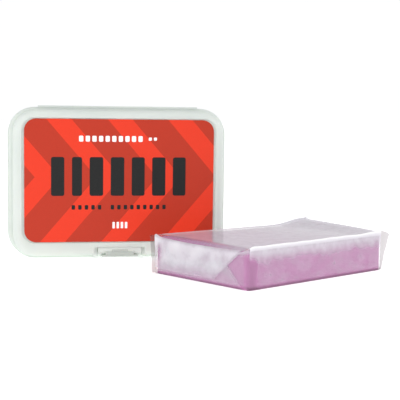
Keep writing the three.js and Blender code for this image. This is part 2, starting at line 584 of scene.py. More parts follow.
@dataclass(frozen=True)
class LabelPrint:
    """A satin sticker printed edge to edge with even arrow-head bands in two reds."""

    ground: Colour = display(233, 57, 28)
    band: Colour = display(181, 49, 25)
    first_point: float = -26.6
    pitch: float = 27.0
    band_width: float = 16.0
    slope: float = 0.86
    point_height: float = 36.9

    def material(self, placement: Placement) -> bpy.types.Material:
        """Builds the material.

        Args:
            placement: The case's placement, which gives the print its middle.

        Returns:
            The material.
        """
        shader = Shader("label_print")
        parts = shader.node("ShaderNodeSeparateXYZ", {0: shader.place()})
        x = shader.math("DIVIDE", shader.math("SUBTRACT", parts.outputs[0], placement.origin.x), MM)
        height = shader.math("DIVIDE", parts.outputs[2], MM)
        off_point = shader.math("ABSOLUTE", shader.math("SUBTRACT", height, self.point_height))
        run = shader.math("ADD", x, shader.math("MULTIPLY", off_point, self.slope))
        from_first = shader.math("DIVIDE", shader.math("SUBTRACT", run, self.first_point), self.pitch)
        inked = shader.math("LESS_THAN", shader.math("FRACT", from_first), self.band_width / self.pitch)
        print_noise = shader.noise(900, 3)
        ground = shader.mix_colour(shader.span(print_noise, 0.0, 0.16), self.ground, self.band)
        band = shader.mix_colour(shader.span(print_noise, 0.0, 0.14), self.band, self.ground)
        surface = shader.node(
            "ShaderNodeBsdfPrincipled",
            {
                "Base Color": shader.mix_colour(inked, ground, band),
                "Roughness": shader.span(shader.noise(300, 2), 0.34, 0.46),
                "IOR": 1.45,
                "Specular IOR Level": 0.32,
                "Normal": shader.bump(shader.noise(2600, 2), 0.000012, 0.5),
            },
        )
        return shader.finish(surface.outputs[0])


@dataclass(frozen=True)
class Ink:
    """One printed ink of the label."""

    name: str
    colour: Colour

    def material(self) -> bpy.types.Material:
        """Builds the material.

        Returns:
            The material.
        """
        shader = Shader(self.name)
        worn = shader.noise(1500, 3)
        lighter: Colour = tuple(min(1.0, c * 1.25 + 0.01) for c in self.colour[:3]) + (1.0,)
        surface = shader.node(
            "ShaderNodeBsdfPrincipled",
            {
                "Base Color": shader.mix_colour(worn, self.colour, lighter),
                "Roughness": shader.span(worn, 0.42, 0.54),
                "Specular IOR Level": 0.3,
                "Normal": shader.bump(shader.noise(2600, 2), 0.000012, 0.5),
            },
        )
        return shader.finish(surface.outputs[0])


@dataclass(frozen=True)
class ClayWax:
    """Kneadable detailing clay: matt, slightly waxy, pink with paler and deeper clouds."""

    colour: Colour = display(188, 126, 172)
    deep: Colour = display(174, 108, 156)

    def material(self) -> bpy.types.Material:
        """Builds the material.

        Returns:
            The material.
        """
        shader = Shader("detailing_clay")
        cloud = shader.noise(120, 4)
        press = shader.noise(420, 4)
        surface = shader.node(
            "ShaderNodeBsdfPrincipled",
            {
                "Base Color": shader.mix_colour(shader.span(cloud, -0.2, 1.2), self.deep, self.colour),
                "Roughness": shader.span(press, 0.5, 0.68),
                "Subsurface Weight": 0.2,
                "Subsurface Radius": Vector((1.0, 0.7, 0.9)),
                "Subsurface Scale": 0.0015,
                "Normal": shader.bump(press, 0.00025, 0.5),
            },
        )
        return shader.finish(surface.outputs[0])


@dataclass(frozen=True)
class ClearFilm:
    """Thin clear wrapping film: see-through and glossy, with a haze value from -1 to 2.

    Above 0 it is milky, and above 1 white, which paints the highlight where the film is sharply
    folded; below 0 clear sheets lie on one another and take light away, and it also paints the shade
    along the floor and at the near front corner.
    """

    tint: Colour = (0.97, 0.965, 0.975, 1.0)
    # Tint below 0: stacked clear sheets, and painted shade along the floor and at the near front corner.
    layered_and_shadow_tint: Colour = (0.56, 0.53, 0.54, 1.0)
    milk: Colour = (0.8, 0.8, 0.84, 1.0)
    # Colour above 1: painted highlight where the film is sharply folded.
    white: Colour = (1.0, 1.0, 1.0, 1.0)
    head_on: float = 0.045
    grazing: float = 0.55
    roughness: float = 0.07

    def material(self) -> bpy.types.Material:
        """Builds the material.

        Returns:
            The material.
        """
        shader = Shader("wrapping_film")
        fine = shader.noise(900, 3)
        normal = shader.bump(fine, 0.00005, 0.35)
        facing = shader.node("ShaderNodeLayerWeight", {"Blend": 0.5, "Normal": normal}).outputs["Facing"]
        rise = shader.math("POWER", facing, 5.0)
        gloss_share = shader.math("ADD", shader.math("MULTIPLY", rise, self.grazing), self.head_on)
        gloss = shader.node(
            "ShaderNodeBsdfGlossy", {"Color": (1, 1, 1, 1), "Roughness": self.roughness, "Normal": normal}
        )
        # Per-vertex milkiness, which also carries painted highlights, painted reflection and painted shade.
        haze_and_painted_light = shader.node("ShaderNodeAttribute", attribute_name="haze_and_painted_light").outputs["Fac"]
        patchy = shader.math("MULTIPLY", haze_and_painted_light, shader.span(shader.noise(350, 3), 0.75, 1.2), clamp=True)
        # Below 0: stacked sheets, and painted shade along the floor and at the near front corner.
        layers_and_shadow = shader.math("MULTIPLY", haze_and_painted_light, -1.0, clamp=True)
        colour = shader.mix_colour(layers_and_shadow, self.tint, self.layered_and_shadow_tint)
        clear = shader.node("ShaderNodeBsdfTransparent", {"Color": colour})
        # Above 1: painted highlight, white along the sharp ridges.
        painted_highlight = shader.math("SUBTRACT", haze_and_painted_light, 1.0, clamp=True)
        pale = shader.mix_colour(painted_highlight, self.milk, self.white)
        milk = shader.mix_shader(
            shader.math("SUBTRACT", 0.35, shader.math("MULTIPLY", painted_highlight, 0.3)),
            shader.node("ShaderNodeBsdfDiffuse", {"Color": pale, "Normal": normal}).outputs[0],
            shader.node("ShaderNodeBsdfTranslucent", {"Color": pale}).outputs[0],
        )
        body = shader.mix_shader(patchy, clear.outputs[0], milk)
        return shader.finish(shader.mix_shader(gloss_share, body, gloss.outputs[0]))


@dataclass(frozen=True)
class PaperFloor:
    """Pale studio paper."""

    colour: Colour = (0.88, 0.88, 0.88, 1.0)
    glow: float = 0.5

    def material(self) -> bpy.types.Material:
        """Builds the material.

        Returns:
            The material.
        """
        shader = Shader("studio_paper")
        surface = shader.node(
            "ShaderNodeBsdfPrincipled",
            {
                "Base Color": self.colour,
                "Roughness": 0.9,
                "Emission Color": (1, 1, 1, 1),
                "Emission Strength": self.glow,
                "Specular IOR Level": 0.1,
            },
        )
        return shader.finish(surface.outputs[0])


# ------------------------------------------------------------------------------------------ the case


@dataclass(frozen=True)
class CaseHalf:
    """One moulded half of the case: walls, face and rim, drawn open towards the parting plane at z = 0."""

    depth: float
    rim: Outline
    rim_depth: float
    body: Outline = Outline(47, 1.6, 66.4, 10)
    wall: float = 1.3
    shoulder: float = 3.2
    inner_shoulder: float = 2.0
    start: float = 0.15
    edge: float = 0.3
    foot: float = 0.35
    steps: int = 7

    def shoulder_round(self, inset: float, radius: float, level: float) -> list[Station]:
        """Stations of the round between a wall and a face.

        Args:
            inset: Where the wall stands.
            radius: Radius of the round.
            level: Level of the face.

        Returns:
            The stations, from the wall to the face.
        """
        return [
            Station(self.body, inset + radius * (1 - cosine), level - radius + radius * sine)
            for sine, cosine in quarter_turn(self.steps)
        ]

    def inside(self) -> list[Station]:
        """Stations of the inner side, from the middle of the face back to the parting plane."""
        rounded = self.shoulder_round(self.wall, self.inner_shoulder, self.depth - self.wall)
        return list(reversed(rounded))

    def rim_round(self) -> list[Station]:
        """Stations around the rim's edge and up to the outer wall.

        Returns:
            The stations, from the parting plane.
        """
        rim, start, edge, foot = self.rim, self.start, self.edge, self.foot
        top = start + self.rim_depth
        turn = quarter_turn(3)
        stations = [Station(rim, edge * (1 - sine), start + edge * (1 - cosine)) for sine, cosine in turn]
        stations += [Station(rim, edge * (1 - cosine), top - edge * (1 - sine)) for sine, cosine in turn]
        stations += [
            Station(self.body, -foot, top),
            Station(self.body, -foot * 0.3, top + foot * 0.3),
            Station(self.body, 0, top + foot),
        ]
        return stations

    def outside(self) -> list[Station]:
        """Stations of the outer side, from the rim to the edge of the face."""
        return self.rim_round() + self.shoulder_round(0, self.shoulder, self.depth)


LID_HALF = CaseHalf(depth=11, rim=Outline(48.6, 0, 67.1, 11.3), rim_depth=2.4)
TRAY_HALF = CaseHalf(depth=15.4, rim=Outline(49.4, 0, 67.6, 12), rim_depth=2.2)


@dataclass(frozen=True)
class PrintedRow:
    """A row of printed blocks, from its left end. A negative width is a space of that size."""

    left: float
    low: float
    high: float
    widths: tuple[float, ...]
    gap: float


@dataclass(frozen=True)
class Label:
    """The printed sticker in the lid's pocket, with plain blocks where a real one carries words."""

    outline: Outline = Outline(42.15, 8.05, 62.55, 5.3)
    back: float = 10.5
    thickness: float = 0.25
    ink_height: float = 0.03
    widest_corner: float = 0.9
    dark_rows: tuple[PrintedRow, ...] = (
        PrintedRow(-30.5, 28.6, 45.8, (5.8, 4.4, 6.0, 6.0, 5.8, 6.0, 5.8), 3.35),
        PrintedRow(-21.5, 22.5, 24.5, (1.5,) * 5 + (-1.4,) + (1.5,) * 9, 1.4),
    )
    pale_rows: tuple[PrintedRow, ...] = (
        PrintedRow(-18.3, 52.6, 55.2, (1.9,) * 10, 1.02),
        PrintedRow(12.6, 53.2, 54.6, (1.4,) * 2, 0.9),
        PrintedRow(-3.4, 14.0, 16.9, (1.1,) * 4, 0.75),
    )

    def sticker(self, placement: Placement) -> bpy.types.Object:
        """Builds the sticker.

        Args:
            placement: The case's placement.

        Returns:
            The settled object.
        """
        front = self.back + self.thickness
        ease = 0.06
        stations = [
            Station(self.outline, ease, self.back),
            Station(self.outline, 0, self.back + ease),
            Station(self.outline, 0, front - ease),
            Station(self.outline, ease, front),
        ]
        made = new_object("label_sticker", loft([s.ring() for s in stations]))
        tidy_mesh(made)
        settle(made, placement, LabelPrint().material(placement), Slot.LABEL, ["front_label"])
        return made

    def plate(self, left: float, width: float, low: float, high: float) -> Geometry:
        """One printed block as a thin plate with round corners.

        Args:
            left: Its left edge.
            width: Its width.
            low: Its lower edge.
            high: Its upper edge.

        Returns:
            The plate, half sunk in the sticker.
        """
        corner = min(self.widest_corner, width / 4, (high - low) / 4)
        outline = Outline(width / 2, low, high, corner, corner_steps=4, side_steps=1)
        face = self.back + self.thickness
        shape = loft([outline.ring(0, face - self.ink_height), outline.ring(0, face + self.ink_height)])
        for point in shape.vertices:
            point.x += left + width / 2
        return shape

    def plates(self, rows: Sequence[PrintedRow]) -> Geometry:
        """All the blocks of some rows.

        Args:
            rows: The rows.

        Returns:
            Their plates.
        """
        made = Geometry()
        for row in rows:
            at = row.left
            for width in row.widths:
                if width > 0:
                    made.add(self.plate(at, width, row.low, row.high))
                at += abs(width) + row.gap
        return made

    def build(self, placement: Placement) -> None:
        """Builds the sticker and its inks.

        Args:
            placement: The case's placement.
        """
        ride(self.sticker(placement), Body.LID)
        for name, rows, ink in (
            ("label_dark_print", self.dark_rows, Ink("dark_ink", display(8, 10, 10))),
            ("label_pale_print", self.pale_rows, Ink("pale_ink", display(246, 238, 236))),
        ):
            made = new_object(name, self.plates(rows))
            tidy_mesh(made)
            settle(made, placement, ink.material(), Slot.LABEL)
            ride(made, Body.LID)


@dataclass(frozen=True)
class LedgeStep:
    """One step of the thumb ledge: half its width, its lower side and its upper side."""

    half: float
    low: float
    high: float


@dataclass(frozen=True)
class HingedCase:
    """The case: lid with label pocket and latch tongue, tray, and the thin web that hinges them.

    The ledge's steps stand back by step_back each, and past is how far a cutting block reaches
    beyond the case.
    """

    placement: Placement
    plastic: bpy.types.Material
    # Darker copy of the plastic: painted shade on the thumb ledge's steps.
    ledge_shade_plastic: bpy.types.Material
    pocket: Outline = Outline(43.25, 7.65, 62.95, 5.7)
    pocket_depth: float = 0.6
    window_half: float = 11.3
    window_top: float = 5.5
    tongue_half: float = 9.7
    tongue_low: float = 1.2
    tongue_high: float = 5.45
    ledge_front: float = 11.3
    ledge_back: float = 9.0
    ledge_steps: tuple[LedgeStep, ...] = (
        LedgeStep(8.3, 1.2, 2.1),
        LedgeStep(6.4, 1.9, 3.4),
        LedgeStep(3.7, 3.2, 4.75),
    )
    step_back: float = 0.12
    catch_half: float = 6.0
    membrane_low: float = 1.8
    membrane_back: float = 9.0
    past: float = 20.0
    round_off: float = 0.16

    def lid_face(self) -> list[Station]:
        """Stations from the edge of the lid's face down into the label pocket.

        Returns:
            The stations, ending at the pocket's floor.
        """
        brim, fillet = 0.2, 0.12
        face = LID_HALF.depth
        floor = face - self.pocket_depth
        stations = [
            Station(self.pocket, -brim * (1 - sine), face - brim * (1 - cosine))
            for sine, cosine in quarter_turn(3)
        ]
        stations += [Station(self.pocket, 0, floor + fillet), Station(self.pocket, fillet, floor)]
        return stations

    def outer_wall(self) -> list[Station]:
        """Stations of the lid's wall, from the middle of its inside to the edge of its face."""
        parting = Station(LID_HALF.body, LID_HALF.wall, LID_HALF.start)
        return [*LID_HALF.inside(), parting, *LID_HALF.outside()]

    def lid(self) -> bpy.types.Object:
        """Builds the lid with its pocket, the window around the tongue and the membranes behind its slots.

        Returns:
            The lid, in its drawing's millimetres.
        """
        stations = self.outer_wall() + self.lid_face()
        lid = new_object("case_lid", loft([s.ring() for s in stations]))
        tidy_mesh(lid)
        low = (-self.window_half, -self.past, -self.past)
        high = (self.window_half, self.window_top, self.past)
        work_on(lid, block("window", low, high), Cut.REMOVE)
        soften_edges(lid, self.round_off)
        gap, overlap, proud = 0.25, 1, 0.1
        front = LID_HALF.depth - LID_HALF.wall + proud
        for hand in (-1, 1):
            ends = sorted((hand * (self.tongue_half + gap), hand * (self.window_half + overlap)))
            low = (ends[0], self.membrane_low, self.membrane_back)
            high = (ends[1], self.window_top + overlap, front)
            work_on(lid, block("slot_membrane", low, high), Cut.JOIN)
        return lid

    def tongue(self) -> bpy.types.Object:
        """Builds the latch tongue with its stepped thumb ledge and snap bead.

        Returns:
            The tongue, whose second material, a darker copy of the plastic that paints shade, is on the
            ledge.
        """
        tongue = new_object("latch_tongue_moulding", loft([s.ring() for s in self.outer_wall()]))
        tidy_mesh(tongue)
        low = (-self.tongue_half, self.tongue_low, -self.past)
        high = (self.tongue_half, self.tongue_high, self.past)
        work_on(tongue, block("tongue_blank", low, high), Cut.KEEP_COMMON)
        soften_edges(tongue, self.round_off)
        # The second material, a darker copy of the plastic, paints shade on the ledge's steps.
        for finish in (self.plastic, self.ledge_shade_plastic):
            tongue.data.materials.append(finish)
        for number, step in enumerate(self.ledge_steps):
            low = (-step.half, step.low, self.ledge_back)
            high = (step.half, step.high, self.ledge_front - self.step_back * number)
            made = block("ledge_step", low, high, 0.35)
            for finish in (self.plastic, self.ledge_shade_plastic):
                made.data.materials.append(finish)
            for face in made.data.polygons:
                face.material_index = 1
            work_on(tongue, made, Cut.JOIN)
        bead = block("snap_bead", (-self.catch_half, 2.5, 1.9), (self.catch_half, 3.2, 2.7), 0.2)
        work_on(tongue, bead, Cut.JOIN)
        return tongue

    def tray(self) -> bpy.types.Object:
        """Builds the tray with its locating lip and the lug that the tongue snaps over.

        Returns:
            The tray, in its drawing's millimetres.
        """
        lip_out, lip_in, lip_root, lip_reach, ease = 1.6, 2.4, 1.5, 1.6, 0.15
        body = TRAY_HALF.body
        stations = TRAY_HALF.inside()
        stations += [
            Station(body, TRAY_HALF.wall, lip_root + 0.9),
            Station(body, lip_in, lip_root),
            Station(body, lip_in, -lip_reach + ease),
            Station(body, lip_in - ease, -lip_reach),
            Station(body, lip_out + ease, -lip_reach),
            Station(body, lip_out, -lip_reach + ease),
            Station(body, lip_out, TRAY_HALF.start),
        ]
        stations += TRAY_HALF.outside()
        tray = new_object("case_tray", loft([s.ring() for s in stations]))
        tidy_mesh(tray)
        lug = block("catch_lug", (-self.catch_half, 3.5, -3.8), (self.catch_half, 4.6, -0.5), 0.25)
        work_on(tray, lug, Cut.JOIN)
        return tray

    def web(self) -> bpy.types.Object:
        """Builds the living hinge: a thin web, thinnest along its middle, lying on both rims.

        Returns:
            The web, in its drawing's millimetres.
        """
        half, reach, high, rise = 36.0, 1.8, 68.3, 0.14
        lid_foot, tray_foot, thin = 67.15, 67.65, 67.95
        count, spans = 16, 48
        rings = []
        for station in range(spans + 1):
            x = -half + 2 * half * station / spans
            taper = 1 - 0.5 * smooth_step(half - 1.2, half, abs(x))
            ring = []
            for i in range(count + 1):
                across = -reach + 2 * reach * i / count
                groove = rise * math.exp(-((across / 0.45) ** 2))
                edge = rise * smooth_step(reach - 0.5, reach, abs(across))
                ring.append(Vector((x, high - groove - edge, across * taper)))
            for i in range(count, -1, -1):
                across = -reach + 2 * reach * i / count
                foot = lid_foot if across > 0 else tray_foot
                low = thin + (foot - thin) * smooth_step(0.15, 0.5, abs(across))
                ring.append(Vector((x, low, across * taper)))
            rings.append(ring)
        web = new_object("hinge_web", loft(rings))
        tidy_mesh(web)
        return web

    def build(self) -> None:
        """Builds every piece of the case."""
        lid = self.lid()
        settle(lid, self.placement, self.plastic, Slot.CASE, ["lid_shell"])
        ride(lid, Body.LID)
        tongue = self.tongue()
        settle(tongue, self.placement, self.plastic, Slot.CASE, ["latch_tongue"])
        ride(tongue, Body.LATCH)
        tray = self.tray()
        settle(tray, self.tray_placement(), self.plastic, Slot.CASE, ["tray_shell"])
        ride(tray, Body.TRAY)
        web = self.web()
        settle(web, self.placement, self.plastic, Slot.CASE, ["living_hinge"])
        middle, bend = 68.1, 0.7
        start = self.placement.point(0, middle, bend)
        end = self.placement.point(0, middle, -bend)
        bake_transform(web)
        report(web, [Body.LID, Body.TRAY])

    def tray_placement(self) -> Placement:
        """The tray's drawing faces backward, so two of its axes are turned."""
        own = self.placement
        return Placement(own.origin, -own.along, own.across, -own.outward)


# ------------------------------------------------------------------------------------------ the wrapped bar


@dataclass(frozen=True)
class BarShape:
    """The wrapped bar's overall form: x along it, y to its back, z up."""

    near_end: float = 41.1
    far_end: float = 42.6
    half_width: float = 25.1
    length_growth: float = 0.0011
    width_growth: float = -0.0016

    def bend(self, point: Vector) -> Vector:
        """Gives a straight-sided drawing the bar's uneven plan."""
        x, y, z = point
        return Vector((x * (1 + self.length_growth * y), y * (1 + self.width_growth * x), z))

    def crown(self, x: float, y: float) -> float:
        """How much higher the top stands towards the far end, most of all at its back corner."""
        back = max(0.0, min(1.0, (y / self.half_width + 1) / 2))
        return smooth_step(24, 44, x) * (0.25 + 1.7 * back**0.6)


@dataclass(frozen=True)
class ClayBlock:
    """The clay itself, pressed in a mould: soft upper edges, crisp lower ones and shallow dents."""

    shape: BarShape
    near_gap: float = 0.9
    far_gap: float = 0.3
    side_gap: float = 0.3
    low: float = 0.12
    high: float = 15.6
    upper_edge: float = 2.4
    lower_edge: float = 0.35
    upright_edge: float = 1.1
    wall_rows: int = 12
    face_rows: int = 20

    def rings(self) -> list[list[Vector]]:
        """Rings from the middle of the underside, around the walls, to the middle of the top.

        Returns:
            The rings, for a loft.
        """
        near, far = self.shape.near_end - self.near_gap, self.shape.far_end - self.far_gap
        half_width = self.shape.half_width - self.side_gap
        plan = Outline((near + far) / 2, -half_width, half_width, self.upright_edge, 5, 44)
        low, high, under, over = self.low, self.high, self.lower_edge, self.upper_edge
        deepest, rows = half_width - 0.4, self.face_rows
        rise = high - over - low - under
        stations = [(deepest + (under - deepest) * i / rows, low) for i in range(rows)]
        stations += [(under * (1 - sine), low + under * (1 - cosine)) for sine, cosine in quarter_turn(4)]
        stations += [(0.0, low + under + rise * i / self.wall_rows) for i in range(1, self.wall_rows)]
        stations += [(over * (1 - cosine), high - over * (1 - sine)) for sine, cosine in quarter_turn(7)]
        stations += [(over + (deepest - over) * i / rows, high) for i in range(1, rows + 1)]
        shift = Vector(((far - near) / 2, 0, 0))
        return [[point + shift for point in plan.ring(inset, level)] for inset, level in stations]

    def pressed(self, point: Vector) -> Vector:
        """Adds the dents and fine marks of the pressing, and the rise of the top.

        Args:
            point: A point of the plain block.

        Returns:
            Where it lies on the real one.
        """
        dent = 0.12 * ripple(point.x / 9, point.y / 9, point.z / 9, 1) - 0.12
        fine = 0.05 * ripple(point.x / 2.6, point.y / 2.6, point.z / 2.6, 2)
        side = Vector((0, math.copysign(1, point.y), 0))
        upper = smooth_step(self.high - self.upper_edge, self.high, point.z)
        raised = point.z > (self.low + self.high) / 2 * 0.3
        outward = side.lerp(Vector((0, 0, 1)), upper) if raised else side * 0.4
        moved = point + outward * (dent + fine)
        lift = self.shape.crown(moved.x, moved.y) * smooth_step(6, self.high, moved.z)
        moved.z = max(self.low, moved.z) + lift
        return self.shape.bend(moved)

    def build(self, placement: Placement) -> None:
        """Builds the block and puts it on its body.

        Args:
            placement: The bar's placement.
        """
        body = loft(self.rings())
        body.vertices = [self.pressed(point) for point in body.vertices]
        made = new_object("clay_bar_block", body)
        tidy_mesh(made)
        settle(made, placement, ClayWax().material(), Slot.CLAY, ["clay_block"], crease=80)
        ride(made, Body.BAR)


@dataclass(frozen=True)
class Crease:
    """A raised line in the film of one face, in that face's two coordinates."""

    start: tuple[float, float]
    end: tuple[float, float]
    height: float
    width: float

    def rise(self, a: float, b: float) -> float:
        """Height of the crease at a point of the face.

        Args:
            a: The point's first coordinate.
            b: Its second.

        Returns:
            The height, which fades away from the line and towards its ends.
        """
        ax, ay = self.start
        dx, dy = self.end[0] - ax, self.end[1] - ay
        share = max(0.0, min(1.0, ((a - ax) * dx + (b - ay) * dy) / (dx * dx + dy * dy)))
        off = math.hypot(a - ax - share * dx, b - ay - share * dy)
        fade = math.sin(math.pi * (0.12 + 0.76 * share))
        return self.height * fade * math.exp(-((off / self.width) ** 2))


class End(Enum):
    """The two ends of the bar; the value is the direction along x."""

    NEAR = -1
    FAR = 1


class Edge(Enum):
    """The four edges of an end that film is folded over."""

    TOP = "top"
    BOTTOM = "bottom"
    FRONT = "front"
    BACK = "back"


@dataclass(frozen=True)
class Flap:
    """A folded panel of film: which edge it comes over and how its free edge lies.

    The first side is the front or the bottom one, the last side the back or the top one.
    """

    edge: Edge
    layer: float
    first_reach: float
    last_reach: float
    first_inset: float
    last_inset: float
    corner: float
    haze_and_painted_light: float
    lift: float = 0.0
    first_start: float = 0.0


@dataclass(frozen=True)
class Fin:
    """Film that stands out from a corner of the bar, where the folded film isn't pressed flat.

    The hand is -1 at the front and 1 at the back. The splay is how far it turns to the side, as a
    share of its reach. The profile gives its reach at some heights.
    """

    end: End
    hand: int
    splay: float
    haze_and_painted_light: float
    profile: tuple[tuple[float, float], ...]

    def reach(self, z: float) -> float:
        """How far it stands out, in straight stretches between the profile's points.

        Args:
            z: The height.

        Returns:
            The reach.
        """
        for (z0, reach0), (z1, reach1) in zip(self.profile, self.profile[1:]):
            if z <= z1:
                return reach0 + (reach1 - reach0) * (z - z0) / (z1 - z0)
        return self.profile[-1][1]


@dataclass(frozen=True)
class Corner:
    """A round corner of the sleeve's section: its centre's offsets, radius and where its arc starts."""

    y: float
    z: float
    radius: float
    turn: float


@dataclass(frozen=True)
class FilmWrap:
    """One sheet of clear film around the bar: a sleeve, a seam on the back and folded ends."""

    shape: BarShape
    near_sleeve: float = 40.1
    far_sleeve: float = 42.2
    rows: int = 100
    wall: float = 25.05
    top: float = 15.9
    ridge: float = 0.8
    sag: float = 1.3
    floor_gap: float = 0.02
    flaps: tuple[Flap, ...] = (
        Flap(Edge.FRONT, 0.3, 13, 13, 5.2, 5.2, 0.3, 0.2),
        Flap(Edge.BACK, 0.3, 13, 13, 5.2, 5.2, 0.3, 0.2),
        Flap(Edge.BOTTOM, 0.55, 10, 7, 11.4, 5, 0.4, 0.4, first_start=2.2),
        Flap(Edge.TOP, 0.9, 12.0, 12.8, 16.5, 0.6, 0.6, 0.9, 0.3, 3.0),
    )
    end_creases: tuple[Crease, ...] = (
        Crease((19.5, 14.5), (15.5, 3.5), 0.5, 0.9),
        Crease((22.5, 6.5), (18, 15), 0.35, 0.8),
        Crease((15, 14.6), (10.5, 5), 0.4, 1.3),
        Crease((-8, 14.5), (-1.5, 5.5), 0.5, 1.3),
        Crease((-12, 13.5), (-7.5, 5), 0.35, 0.9),
        Crease((-5, 6.4), (19, 4.8), 0.35, 1.0),
        Crease((2, 14), (5, 9), 0.25, 1.6),
    )
    fins: tuple[Fin, ...] = (
        Fin(
            End.FAR,
            hand=-1,
            splay=0.05,
            haze_and_painted_light=-1.05,
            profile=(
                (0.4, 0.9),
                (3.1, 1.8),
                (7, 2.9),
                (10.2, 4.3),
                (13.4, 5.2),
                (15.2, 5.9),
                (16.1, 4.2),
                (16.9, 0.8),
            ),
        ),
        Fin(End.FAR, 1, 0.1, -0.4, ((3, 0.5), (10, 1.2), (16.4, 1.6), (17.8, 0.4))),
        Fin(End.NEAR, 1, 1.0, -1.0, ((0.3, 1.2), (6, 1.35), (15.9, 1.8))),
    )
    front_creases: tuple[Crease, ...] = (
        Crease((-37.5, 1.5), (-35.4, 14.5), 0.35, 1.0),
        Crease((-33.5, 13.8), (-30, 3), 0.22, 1.0),
        Crease((-24, 13.5), (-20.5, 5), 0.16, 0.9),
        Crease((-8, 12.5), (-12, 4), 0.14, 1.0),
        Crease((9, 13), (14, 5), 0.14, 1.1),
        Crease((24, 12.5), (20, 4), 0.16, 1.1),
        Crease((35.5, 13.5), (33, 2.5), 0.25, 1.1),
    )

    def section(self) -> list[tuple[float, float, Edge]]:
        """Points around the straight sleeve.

        Returns:
            y, z and the face that the point belongs to.
        """
        corners = (
            Corner(1, 1, 0.9, 0.0),
            Corner(-1, 1, 0.45, 0.5),
            Corner(-1, 0, 0.2, 1.0),
            Corner(1, 0, 0.3, 1.5),
        )
        sides = ((Edge.TOP, 66), (Edge.FRONT, 24), (Edge.BOTTOM, 40), (Edge.BACK, 20))
        steps = 4

        def arc(corner: Corner, share: float) -> tuple[float, float]:
            """Point of a corner's arc.

            Args:
                corner: The corner.
                share: From 0 to 1 along its arc.

            Returns:
                y and z.
            """
            r, angle = corner.radius, (corner.turn + share / 2) * math.pi
            centre_z = self.top - r if corner.z else r
            return corner.y * (self.wall - r) + r * math.cos(angle), centre_z + r * math.sin(angle)

        points: list[tuple[float, float, Edge]] = []
        for number, (face, count) in enumerate(sides):
            corner, following = corners[number], corners[(number + 1) % 4]
            before = sides[number - 1][0]
            for i in range(steps + 1):
                points.append((*arc(corner, i / steps), before if 2 * i < steps else face))
            start, end = Vector(arc(corner, 1)), Vector(arc(following, 0))
            points += [(*start.lerp(end, i / count), face) for i in range(1, count)]
        return points

    def top_level(self, x: float, y: float) -> float:
        """Height of the film over the clay's top, with the ridges along its edges.

        Args:
            x: Place along the bar.
            y: Place across it.

        Returns:
            The height.
        """
        w = self.wall
        front = self.ridge * math.exp(-(((y + w) / 1.3) ** 2)) * (1 + 0.4 * ripple(x / 7, 0, 0, 3))
        back = (0.55 + 0.7 * smooth_step(20, 34, x)) * math.exp(-(((w - y) / 1.3) ** 2))
        back *= 0.85 + 0.4 * ripple(x / 9, 3, 0, 4)
        calm = 0.03 * ripple(x / 11, y / 9, 0, 5) + 0.015 * ripple(x / 4, y / 5, 0, 6)
        near = max(0.0, 1 - (self.near_sleeve + x) / 2.6)
        across = max(0.0, 1 - ((y + 3) / (w + 3)) ** 2) ** 0.6
        sag = self.sag * near * near * across
        return self.top + front + back + calm - sag + self.shape.crown(x, y)

    def top_haze_and_sheen(self, x: float, y: float) -> float:
        """Milkiness of the top, with painted highlight and painted reflection: white along its edges, which
        paints the ridges' highlights, rising towards the far end, which paints the reflection of the
        surround, and barer where the near end sags.

        Args:
            x: Place along the bar.
            y: Place across it.

        Returns:
            The haze.
        """
        front = math.exp(-(((y + self.wall + 0.1) / 0.9) ** 2))
        back = math.exp(-(((self.wall - y) / 0.7) ** 2))
        far = math.exp(-(((self.far_sleeve - x) / 1.2) ** 2))
        # Painted highlight: above 1 along the front ridge; painted reflection: rising towards the far end.
        haze_and_painted_light = 0.63 + 0.27 * smooth_step(-12, 32, x) + 1.4 * front
        # Painted highlight: above 1 along the back ridge towards the far end.
        haze_and_painted_light += 1.6 * back * smooth_step(16, 32, x) - 0.2 * far
        bare = 0.75 * smooth_step(-22, 4, y) * smooth_step(5.0, 0.4, x + self.near_sleeve)
        return haze_and_painted_light * (1 - bare)

    def front_wrinkle(self, x: float, z: float) -> float:
        """How far the front face's wrinkles and creases stand out.

        Args:
            x: Place along the bar.
            z: Height.

        Returns:
            The stand-off, less along the fold at the top and none at the floor.
        """
        loose = 0.4 + smooth_step(30, 39, abs(x))
        wrinkle = 0.07 * ripple(x / 4.2, z / 9, 0, 11) + 0.04 * ripple(x / 1.8, z / 4, 0, 12) * loose
        wrinkle += sum(crease.rise(x, z) for crease in self.front_creases)
        return wrinkle * smooth_step(0.0, 2.0, z) * (1 - 0.75 * smooth_step(11.5, 13.5, z))

    def front_haze_and_shade(self, x: float, z: float) -> float:
        """Milkiness of the front face, with painted shade: high along the top, little low down, below 0 at
        the floor, which paints the contact shadow, and below 0 at the near corner, which paints shade.

        Args:
            x: Place along the bar.
            z: Height.

        Returns:
            The haze.
        """
        edge = 12.6 + 0.9 * ripple(x / 3.2, z / 9, 0, 7) + 0.8 * ripple(x / 12, 0, 2, 8)
        band = 0.84 * smooth_step(edge - 3.2, edge + 2.0, z)
        # Painted shade: beyond the near corner the value goes below 0, darker.
        strip = smooth_step(-37.2, -35.0, x)
        cloud = 0.17 * ripple(x / 5, z / 3.5, 0, 9) + 0.1 * ripple(x / 2, z / 1.8, 0, 17)
        low = (0.19 + cloud) * strip - 0.2 * (1 - strip)
        # Below 0 near the floor: painted contact shadow.
        return band + low * (1 - band) - 1.3 * smooth_step(1.7, 0.2, z)

